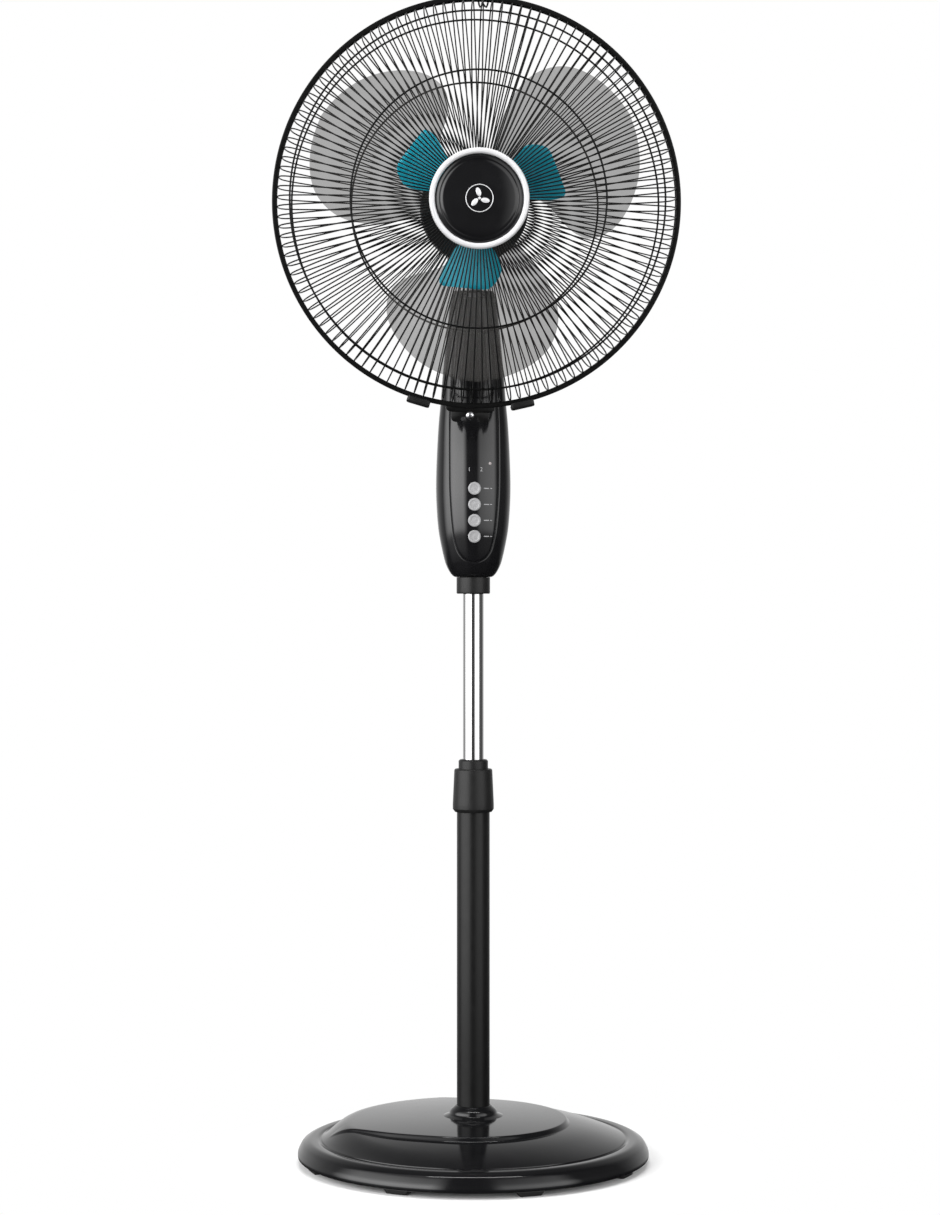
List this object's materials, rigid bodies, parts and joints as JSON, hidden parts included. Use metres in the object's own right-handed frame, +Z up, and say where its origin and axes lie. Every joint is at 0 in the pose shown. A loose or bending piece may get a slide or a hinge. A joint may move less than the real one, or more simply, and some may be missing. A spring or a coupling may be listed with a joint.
{
  "type": "pedestal fan",
  "caption": "Pedestal fan with a round weighted base, telescopic column, control housing and a caged fan head that tilts and swings.",
  "frame": {"origin": "centre of the round base, on the floor", "axes": "+Z up the column; the fan blows towards -Y; +X is to the viewer's right when facing the fan"},
  "size_m": [0.45, 0.4, 1.3028],
  "materials": {
    "gloss_black": "high gloss",
    "satin_black": "satin",
    "pole_paint": "semi-gloss powder coat",
    "guard_paint": "gloss powder coat",
    "chrome_tube": "polished",
    "silver_trim": "satin silver",
    "smoke_blade": "translucent grey",
    "teal_blade": "translucent teal",
    "button_grey": "fine grain",
    "dark_lens": "clear dark",
    "rubber_feet": "matte",
    "moulded_black": "matte",
    "iron": "raw",
    "zinc_steel": "zinc plated",
    "ground_steel": "ground",
    "lamination": "laminated",
    "copper": "enamelled wire",
    "die_cast": "as cast",
    "bronze": "sintered",
    "board_green": "solder mask",
    "capacitor_case": "moulded"
  },
  "bodies": {
    "stand": {"base_feet": "rubber_feet", "base_pan": "moulded_black", "base_weight": "iron", "pole_socket": "zinc_steel", "base_screws": "zinc_steel", "base_cover": "gloss_black", "base_collar": "satin_black", "lower_pole": "pole_paint", "pole_collet": "satin_black"},
    "height_lock": {"height_collar": "satin_black"},
    "mast": {"inner_tube": "chrome_tube", "tube_stop": "moulded_black", "neck_collar": "satin_black", "mast_screw": "zinc_steel", "column_front": "gloss_black", "column_rear": "gloss_black", "column_screws": "zinc_steel", "control_panel": "gloss_black", "receiver_lens": "dark_lens", "circuit_board": "board_green", "capacitor": "capacitor_case", "cord_gland": "satin_black", "tilt_fork": "zinc_steel", "tilt_bolt": "zinc_steel", "tilt_nut": "zinc_steel"},
    "speed_key": {"button_speed": "button_grey"},
    "timer_key": {"button_timer": "button_grey"},
    "mode_key": {"button_mode": "button_grey"},
    "swing_key": {"button_swing": "button_grey"},
    "tilt_neck": {"tilt_bracket": "die_cast", "swing_spindle": "ground_steel", "spindle_clip": "zinc_steel"},
    "head": {"motor_cradle": "die_cast", "swing_bush": "bronze", "motor_front_frame": "die_cast", "motor_rear_frame": "die_cast", "stator_core": "lamination", "stator_windings": "copper", "motor_bearings": "bronze", "motor_front_cover": "satin_black", "motor_rear_cover": "satin_black", "swing_motor": "zinc_steel", "rear_guard": "guard_paint", "front_guard": "guard_paint", "guard_nut": "satin_black", "guard_ring": "guard_paint", "clip_pins": "zinc_steel", "guard_screw": "zinc_steel", "guard_screw_nut": "zinc_steel", "badge_ring": "silver_trim", "badge_disc": "gloss_black"},
    "crank": {"crank_disc": "moulded_black"},
    "link": {"link_arm": "moulded_black"},
    "rotor": {"rotor_core": "lamination", "motor_shaft": "ground_steel", "large_blades": "smoke_blade", "small_blades": "teal_blade", "blade_nut": "satin_black"},
    "left_clip": {"clip_left": "satin_black"},
    "right_clip": {"clip_right": "satin_black"}
  },
  "joints": [
    {"name": "height_lock_turn", "type": "hinge", "parent": "stand", "child": "height_lock", "pos_m": [0, 0, 0.42], "axis": [0, 0, 1], "range_deg": [-120, 0]},
    {"name": "height_slide", "type": "slide", "parent": "stand", "child": "mast", "axis": [0, 0, 1], "range_m": [-0.175, 0.06]},
    {"name": "speed_press", "type": "slide", "parent": "mast", "child": "speed_key", "axis": [0, 1, 0], "range_m": [0, 0.0012], "stiffness_N_per_m": 900, "springref_m": -0.0012},
    {"name": "timer_press", "type": "slide", "parent": "mast", "child": "timer_key", "axis": [0, 1, 0], "range_m": [0, 0.0012], "stiffness_N_per_m": 900, "springref_m": -0.0012},
    {"name": "mode_press", "type": "slide", "parent": "mast", "child": "mode_key", "axis": [0, 1, 0], "range_m": [0, 0.0012], "stiffness_N_per_m": 900, "springref_m": -0.0012},
    {"name": "swing_press", "type": "slide", "parent": "mast", "child": "swing_key", "axis": [0, 1, 0], "range_m": [0, 0.0012], "stiffness_N_per_m": 900, "springref_m": -0.0012},
    {"name": "tilt", "type": "hinge", "parent": "mast", "child": "tilt_neck", "pos_m": [0, 0, 0.978], "axis": [-1, 0, 0], "range_deg": [-8, 20]},
    {"name": "swing", "type": "hinge", "parent": "tilt_neck", "child": "head", "pos_m": [0, 0, 0.978], "axis": [0, -0.0698, 0.9976], "range_deg": [-38, 38]},
    {"name": "crank_turn", "type": "hinge", "parent": "head", "child": "crank", "pos_m": [0.005, 0.03911, 1.02083], "axis": [0, -0.0698, 0.9976], "range_deg": [-60, 60]},
    {"name": "link_turn", "type": "hinge", "parent": "tilt_neck", "child": "link", "pos_m": [0.014, -0.0023, 1.01092], "axis": [0, -0.0698, 0.9976], "range_deg": [-40, 40]},
    {"name": "blade_spin", "type": "hinge", "parent": "head", "child": "rotor", "pos_m": [0, -0.00746, 1.08474], "axis": [0, -0.9976, -0.0698], "continuous": true},
    {"name": "left_clip_hinge", "type": "hinge", "parent": "head", "child": "left_clip", "pos_m": [-0.06426, -0.07942, 0.86083], "axis": [0.9593, 0.0197, -0.2817], "range_deg": [0, 95]},
    {"name": "right_clip_hinge", "type": "hinge", "parent": "head", "child": "right_clip", "pos_m": [0.0512, -0.07918, 0.85742], "axis": [0.9744, -0.0157, 0.2244], "range_deg": [0, 95]}
  ],
  "couplings": [
    {"joint": "crank_turn", "follows": "swing", "ratio": -1.5},
    {"joint": "link_turn", "follows": "swing", "ratio": 1}
  ]
}
